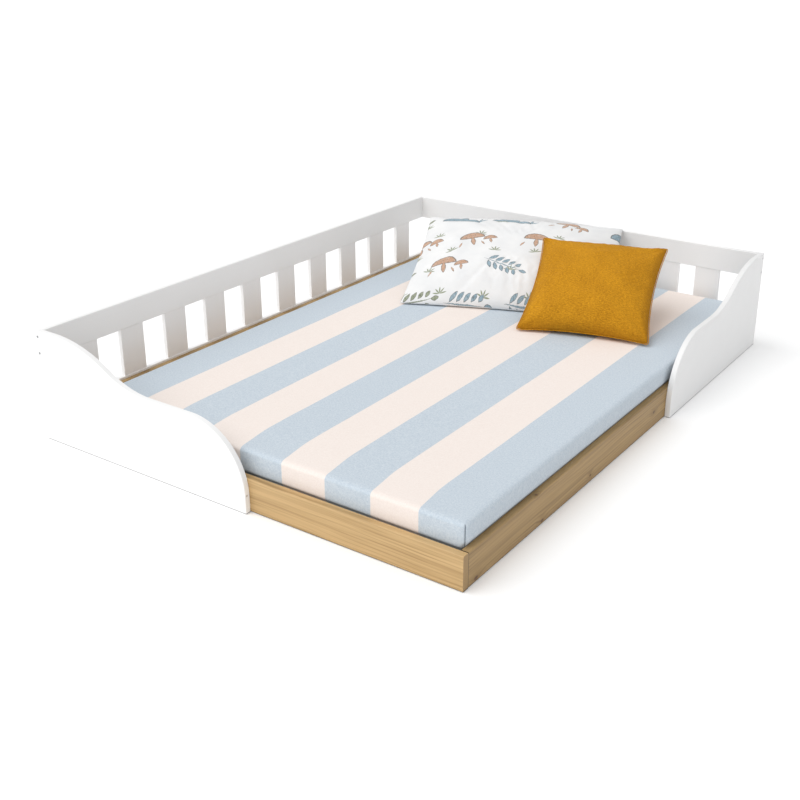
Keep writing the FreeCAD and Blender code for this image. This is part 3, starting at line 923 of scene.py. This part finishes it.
def makeScrews():
    steel = zincSteel()
    for nodeName in screw["groups"]:
        places = screwPlaces(nodeName)
        pattern = makeScrew(places[0][2])
        copies = []
        for place in places:
            head, wayIn = place[:2]
            pickUp(pattern)
            bpy.ops.object.duplicate()
            copied = bpy.context.object
            copied.rotation_euler = (-wayIn).to_track_quat("Z", "Y").to_euler()
            copied.location = head
            settle(copied)
            copies.append(copied)
        pickUp(pattern)
        bpy.ops.object.delete()
        pickUp(*copies)
        bpy.ops.object.join()
        group = bpy.context.object
        words = nodeName.split("_")
        group.name = words[0] + "".join(word.capitalize() for word in words[1:])
        pickUp(group)
        bpy.ops.object.shade_smooth_by_angle(angle=math.radians(screw["sharpFrom"]))
        finishPiece(group, "frame", steel, [nodeName])
        print(group.name, len(places), "made")


mattress = {
    "cuts": 59,
    "radius": 0.012,
    "crown": 0.005,
    "crownPowers": (2, 10),  # the top falls away gently to the sides and late to the ends
    "overhang": 0.008,  # how far the soft side bulges over the open side's board
    "overhangRise": 0.012,  # height above the board at which that bulge is full
    "footBulge": 0.015,  # how far the foot end bulges towards the foot board
    "rimFrom": 0.9,  # share of the half length at which the bulges begin
    "ripple": 0.0012,
    "ripples": ((6.0, 0.6), (19.0, 0.4)),  # ripples to the metre and their shares
    "rippleBand": 0.03,
    "seamDepth": 0.002,
    "seamWidth": 0.2,  # share of half a quarter turn
    "seamStart": 0.25,  # share of the corner's radius below the crown
    "unshadedWidth": 0.02,  # width at the wall side where no painted shade is drawn
    "foamInset": 0.004,
    "foamCuts": 23,
    "hem": 0.11,
    "underside": 0.001,  # how far up a face still counts as the underside
    "cloth": 0.0012,
}


def softBlock(name, low, high, cuts):
    # a block cut into even squares, which are then drawn towards its edges
    clearSelection()
    bpy.ops.mesh.primitive_cube_add(size=1.0, location=(low + high) / 2.0)
    piece = bpy.context.object
    piece.name = name
    piece.scale = high - low
    editAll(piece)
    bpy.ops.mesh.subdivide(number_cuts=cuts)
    bpy.ops.object.mode_set(mode="OBJECT")
    for vertex in piece.data.vertices:
        vertex.co = [0.5 * math.sin(math.pi * value) for value in vertex.co]
    settle(piece)
    return piece


def roundBlock(piece, low, high, radius, crown, seamDepth):
    centre = (low + high) / 2.0
    half = (high - low) / 2.0
    acrossPower, lengthPower = mattress["crownPowers"]
    for vertex in piece.data.vertices:
        local = vertex.co - centre
        across = 1.0 - (local[0] / half[0]) ** acrossPower
        lengthwise = 1.0 - abs(local[1] / half[1]) ** lengthPower
        inner = Vector([max(-half[k] + radius, min(half[k] - radius, local[k])) for k in range(3)])
        out = local - inner
        local = inner + out.normalized() * radius
        flat = Vector((abs(out[0]), abs(out[1])))
        if flat.length > 0.0 and seamDepth > 0.0:
            turn = abs(math.atan2(flat[1], flat[0]) / (math.pi / 4.0) - 1.0)
            closeness = max(0.0, 1.0 - turn / mattress["seamWidth"])
            upright = max(0.0, 1.0 - abs(out[2]) / radius)
            local -= Vector((out[0], out[1], 0.0)).normalized() * seamDepth * closeness * upright
        if local[2] > 0.0:
            local[2] -= crown * (1.0 - across * lengthwise) * local[2] / half[2]
        vertex.co = local + centre


def openBelow(sheet, low, high):
    # the fitted sheet only turns under the foam as far as its hem
    hem = mattress["hem"]
    pickUp(sheet)
    bpy.ops.object.mode_set(mode="EDIT")
    bpy.ops.mesh.select_all(action="DESELECT")
    bpy.ops.object.mode_set(mode="OBJECT")
    for face in sheet.data.polygons:
        inX = low[0] + hem < face.center[0] < high[0] - hem
        inY = low[1] + hem < face.center[1] < high[1] - hem
        face.select = inX and inY and face.center[2] < low[2] + mattress["underside"]
    bpy.ops.object.mode_set(mode="EDIT")
    bpy.ops.mesh.delete(type="FACE")
    bpy.ops.object.mode_set(mode="OBJECT")


def rippleTop(sheet, top):
    (wide, wideShare), (fine, fineShare) = mattress["ripples"]
    for vertex in sheet.data.vertices:
        ripple = noise.noise(vertex.co * wide) * wideShare + noise.noise(vertex.co * fine) * fineShare
        if vertex.co[2] > top - mattress["rippleBand"]:
            vertex.co[2] += mattress["ripple"] * (ripple - 1.0)


def rimShare(value, middle, edge):
    # 0 until near the edge, 1 at the edge
    rimFrom = mattress["rimFrom"]
    return max(0.0, (value - middle) / (edge - middle) - rimFrom) / (1.0 - rimFrom)


def bulgeOut(sheet, low, high, boardTop):
    # the filled sheet swells over the open side's board and towards the foot board
    middle = (low + high) / 2.0
    for vertex in sheet.data.vertices:
        if vertex.co[0] > middle[0] and vertex.co[2] > boardTop:
            rise = min(1.0, (vertex.co[2] - boardTop) / mattress["overhangRise"])
            rim = rimShare(vertex.co[0], middle[0], high[0])
            vertex.co[0] += mattress["overhang"] * rim * rise
        if vertex.co[1] < middle[1]:
            rise = max(0.0, min(1.0, (vertex.co[2] - low[2]) / (boardTop - low[2])))
            rim = rimShare(vertex.co[1], middle[1], low[1])
            vertex.co[1] -= mattress["footBulge"] * rim * rise ** 2


def sheetCotton(low, high, boardTop):
    # the corner seams stand where the bulges have moved the corners to
    shift = Vector((mattress["overhang"], -mattress["footBulge"], 0.0)) / 2.0
    middle = (low + high) / 2.0 + shift
    cornerFrom = (high - low) / 2.0 - Vector((mattress["radius"],) * 3)
    cornerFrom += Vector((mattress["overhang"], mattress["footBulge"], 0.0)) / 2.0
    seamTop = high[2] - mattress["crown"] - mattress["radius"] * mattress["seamStart"]
    return stripedCotton(middle, cornerFrom, seamTop, boardTop, low[0] + mattress["unshadedWidth"])


def makeSheet():
    low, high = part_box("fitted_sheet")
    sheet = softBlock("fittedSheet", low, high, mattress["cuts"])
    roundBlock(sheet, low, high, mattress["radius"], mattress["crown"], mattress["seamDepth"])
    rippleTop(sheet, high[2])
    openBelow(sheet, low, high)
    thicken(sheet, mattress["cloth"])
    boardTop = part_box("open_side_board")[1][2]
    bulgeOut(sheet, low, high, boardTop)
    cotton = sheetCotton(low, high, boardTop)
    finishPiece(sheet, "mattress", cotton, ["fitted_sheet"])
    smoothAll(sheet)
    print("fitted sheet made")


def makeFoam():
    low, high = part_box("fitted_sheet")
    inset = Vector((mattress["foamInset"],) * 3)
    foam = softBlock("mattressFoam", low + inset, high - inset, mattress["foamCuts"])
    roundBlock(foam, low + inset, high - inset, mattress["radius"], mattress["crown"], 0.0)
    finishPiece(foam, "mattress", palePadding("openCellFoam"), ["mattress_core"])
    smoothAll(foam)
    print("foam made")


# The pillow and the cushion are each two cloth panels, sewn round the edge and blown up as cloth.
# The folds that this gives are laid on a form with the fullness of the real piece.

pillow = {
    "names": ("pillowCase", "pillowFilling"),
    "nodes": ("pillowcase", "pillow_insert"),
    "flat": (0.75, 0.55),
    "cuts": (84, 62),
    "crowns": (0.092, 0.034),  # front and back
    "drawIn": 0.012,  # how far the middle of each side is drawn in
    "cornerRadius": 0.007,
    "power": (2.4, 0.62),
    "dents": 0.0035,
    "gathers": (0.002, 0.07, 11.0),  # height, reach from the corner, how many to a turn
    "puckers": 0.0006,
    "folds": 1.6,
    "foldLimit": 0.006,
    "pressure": 4.0,
    "filling": 0.965,
    "piping": 0.0,
    "centre": (-0.05209, 0.594556, 0.259133),
    "across": (0.929776, 0.368125, 0.0),
    "up": (-0.347549, 0.877809, 0.329636),
}

cushion = {
    "names": ("cushionCover", "cushionFilling"),
    "nodes": ("cushion_cover", "cushion_insert"),
    "flat": (0.44, 0.44),
    "cuts": (64, 64),
    "crowns": (0.09, 0.06),
    "drawIn": 0.018,
    "cornerRadius": 0.012,
    "power": (2.4, 0.62),
    "dents": 0.009,
    "gathers": (0.007, 0.09, 11.0),
    "puckers": 0.003,
    "folds": 1.5,
    "foldLimit": 0.008,
    "pressure": 4.0,
    "filling": 0.96,
    "piping": 0.0014,
    "centre": (0.329343, 0.462161, 0.27892),
    "across": (0.961262, 0.275637, 0.0),
    "up": (-0.241078, 0.840738, 0.48481),
}


cutMap = {
    "middle": (0.4, 0.3),  # of the front panel
    "backShift": 0.71,
}

sewing = {
    "startCrown": 0.012,
    "startPower": (4.0, 0.5),
    "weld": 0.00002,
    "onSeam": 0.9999,
}

blowing = {
    "frames": 20,
    "cloth": {
        "quality": 6,
        "mass": 0.15,
        "tension_stiffness": 25.0,
        "compression_stiffness": 12.0,
        "shear_stiffness": 5.0,
        "bending_stiffness": 0.3,
        "use_pressure": True,
    },
    "smoothing": (0.5, 24),  # how much at each pass, and how many passes
}

crumple = {
    "gatherStart": 0.012,  # distance from the corner at which the gathers stand up
    "stitches": 210.0,
    "stitchDrift": 3.0,
    "driftGrain": 12.0,
    "puckerReach": 0.02,
    "puckerStart": 0.003,
    "dentGrain": 9.0,
    "dentPlane": 0.3,
    "dentMean": 0.25,
    "backFolds": 3.0,  # how soon the folds set in behind the seam, at the back
}


def domeShare(u, v, power, edgePower):
    return max(0.0, (1.0 - abs(u) ** power) * (1.0 - abs(v) ** power)) ** edgePower


def sewnPanels(sizes):
    width, height = sizes["flat"]
    cutsX, cutsY = sizes["cuts"]
    clearSelection()
    bpy.ops.mesh.primitive_grid_add(x_subdivisions=cutsX, y_subdivisions=cutsY, size=1.0)
    front = bpy.context.object
    front.scale = (width, height, 1.0)
    settle(front)
    bpy.ops.object.duplicate()
    back = bpy.context.object
    middleX, middleY = cutMap["middle"]
    for panel, side, shift in ((front, 1.0, 0.0), (back, -1.0, cutMap["backShift"])):
        for vertex in panel.data.vertices:
            u, v = 2.0 * vertex.co[0] / width, 2.0 * vertex.co[1] / height
            vertex.co[2] = side * sewing["startCrown"] * domeShare(u, v, *sewing["startPower"])
        cut = panel.data.uv_layers[0]
        cut.name = "cut"
        for loop in panel.data.loops:
            place = panel.data.vertices[loop.vertex_index].co
            cut.data[loop.index].uv = (place[0] + middleX, place[1] + middleY + shift)
    editAll(back)
    bpy.ops.mesh.flip_normals()
    pickUp(front, back)
    bpy.ops.object.join()
    editAll(front)
    bpy.ops.mesh.remove_doubles(threshold=sewing["weld"])
    bpy.ops.object.mode_set(mode="OBJECT")
    front.name = sizes["names"][0]
    return front


def blowUp(piece, pressure):
    pickUp(piece)
    bpy.ops.object.modifier_add(type="CLOTH")
    cloth = piece.modifiers["Cloth"].settings
    for key, value in blowing["cloth"].items():
        setattr(cloth, key, value)
    cloth.uniform_pressure_force = pressure
    cloth.effector_weights.gravity = 0.0
    for step in range(blowing["frames"]):
        bpy.context.scene.frame_set(step + 1)
    pickUp(piece)
    bpy.ops.object.modifier_apply(modifier="Cloth")
    bpy.context.scene.frame_set(1)


def foldsOf(piece):
    # how far each point of the blown up cloth stands out from the same cloth smoothed
    pickUp(piece)
    bpy.ops.object.duplicate()
    smoothed = bpy.context.object
    bpy.ops.object.modifier_add(type="SMOOTH")
    smoothed.modifiers[-1].factor, smoothed.modifiers[-1].iterations = blowing["smoothing"]
    applyAll(smoothed)
    pairs = zip(piece.data.vertices, smoothed.data.vertices)
    folds = [rough.co[2] - even.co[2] for rough, even in pairs]
    bpy.ops.object.delete()
    print(piece.name, "folds from", round(min(folds), 4), "to", round(max(folds), 4))
    return folds


def roundCorner(x, y, halfWidth, halfHeight, radius):
    overX = abs(x) - (halfWidth - radius)
    overY = abs(y) - (halfHeight - radius)
    if overX <= 0.0 or overY <= 0.0:
        return x, y
    pull = max(overX, overY) / math.hypot(overX, overY)
    newX = halfWidth - radius + overX * pull
    newY = halfHeight - radius + overY * pull
    return math.copysign(newX, x), math.copysign(newY, y)


def seamRelief(x, y, halfWidth, halfHeight, sizes):
    # gathers fan out from each corner, and small puckers stand along the seam
    inX, inY = halfWidth - abs(x), halfHeight - abs(y)
    height, reach, count = sizes["gathers"]
    away = math.hypot(inX, inY)
    fan = math.cos(count * math.atan2(inY, inX)) * math.exp(-away / reach)
    fan *= 1.0 - math.exp(-away / crumple["gatherStart"])
    along = y if inX < inY else x
    drift = crumple["stitchDrift"] * noise.noise(Vector((x, y, 0.0)) * crumple["driftGrain"])
    stitch = math.sin(along * crumple["stitches"] + drift)
    edge = min(inX, inY)
    pucker = sizes["puckers"] * stitch * math.exp(-edge / crumple["puckerReach"])
    return height * fan + pucker * (1.0 - math.exp(-edge / crumple["puckerStart"]))


def shapeStuffed(piece, sizes, starts, folds):
    halfWidth, halfHeight = sizes["flat"][0] / 2.0, sizes["flat"][1] / 2.0
    for vertex, start, fold in zip(piece.data.vertices, starts, folds):
        u, v = start[0] / halfWidth, start[1] / halfHeight
        share = domeShare(u, v, *sizes["power"])
        x = u * (halfWidth - sizes["drawIn"] * (1.0 - v ** 2))
        y = v * (halfHeight - sizes["drawIn"] * (1.0 - u ** 2))
        x, y = roundCorner(x, y, halfWidth, halfHeight, sizes["cornerRadius"])
        crease = fold * sizes["folds"] + seamRelief(x, y, halfWidth, halfHeight, sizes)
        crease = max(-sizes["foldLimit"], min(sizes["foldLimit"], crease))
        if start[2] > 0.0:
            hollow = noise.noise(Vector((x, y, crumple["dentPlane"])) * crumple["dentGrain"])
            dent = sizes["dents"] * (hollow - crumple["dentMean"]) * share
            z = sizes["crowns"][0] * share + crease + dent
        else:
            z = -sizes["crowns"][1] * share
            z += max(0.0, crease) * min(1.0, share * crumple["backFolds"])
        vertex.co = (x, y, z)


def leanTo(piece, sizes):
    across, up = Vector(sizes["across"]), Vector(sizes["up"])
    turn = Matrix((across, up, across.cross(up))).transposed().to_4x4()
    piece.matrix_world = Matrix.Translation(sizes["centre"]) @ turn
    settle(piece)


def cutPiping(case, sizes, starts):
    # a thin cord of the same cloth follows the seam
    halfWidth, halfHeight = sizes["flat"][0] / 2.0, sizes["flat"][1] / 2.0
    onSeam = [max(abs(s[0]) / halfWidth, abs(s[1]) / halfHeight) > sewing["onSeam"] for s in starts]
    pickUp(case)
    bpy.ops.object.mode_set(mode="EDIT")
    bpy.ops.mesh.select_mode(type="EDGE")
    bpy.ops.mesh.select_all(action="DESELECT")
    bpy.ops.object.mode_set(mode="OBJECT")
    for edge in case.data.edges:
        edge.select = onSeam[edge.vertices[0]] and onSeam[edge.vertices[1]]
    bpy.ops.object.mode_set(mode="EDIT")
    bpy.ops.mesh.duplicate()
    bpy.ops.mesh.separate(type="SELECTED")
    bpy.ops.mesh.select_mode(type="VERT")
    bpy.ops.object.mode_set(mode="OBJECT")
    cord = [piece for piece in bpy.context.selected_objects if piece != case][0]
    cord.name = "cushionPiping"
    pickUp(cord)
    bpy.ops.object.convert(target="CURVE")
    cord.data.bevel_depth = sizes["piping"]
    cord.data.bevel_resolution = 2
    bpy.ops.object.convert(target="MESH")
    return bpy.context.object


def makeStuffed(sizes, body, clothMaterial, fillMaterial):
    case = sewnPanels(sizes)
    starts = [vertex.co.copy() for vertex in case.data.vertices]
    folds = [0.0] * len(starts)
    blowUp(case, sizes["pressure"])
    folds = foldsOf(case)
    shapeStuffed(case, sizes, starts, folds)
    pickUp(case)
    bpy.ops.object.duplicate()
    filling = bpy.context.object
    filling.name = sizes["names"][1]
    filling.scale = (sizes["filling"],) * 3
    settle(filling)
    if sizes["piping"] > 0.0:
        piping = cutPiping(case, sizes, starts)
        leanTo(piping, sizes)
        smoothAll(piping)
        finishPiece(piping, body, mustardWeave("mustardPiping", ownPlace))
    subdivideOnce(case)
    for piece in (case, filling):
        leanTo(piece, sizes)
        smoothAll(piece)
    finishPiece(case, body, clothMaterial, [sizes["nodes"][0]])
    finishPiece(filling, body, fillMaterial, [sizes["nodes"][1]])
    print(case.name, "made")


setUpView()
setUpStudio()
dressBoards()
makeScrews()
makeFoam()
makeSheet()
fibre = palePadding("fibreFilling")
makeStuffed(pillow, "pillow", printedCotton(), fibre)
cushionCloth = mustardWeave("mustardWeave", clothPlace, cushion["flat"][0] / 2.0)
makeStuffed(cushion, "cushion", cushionCloth, fibre)
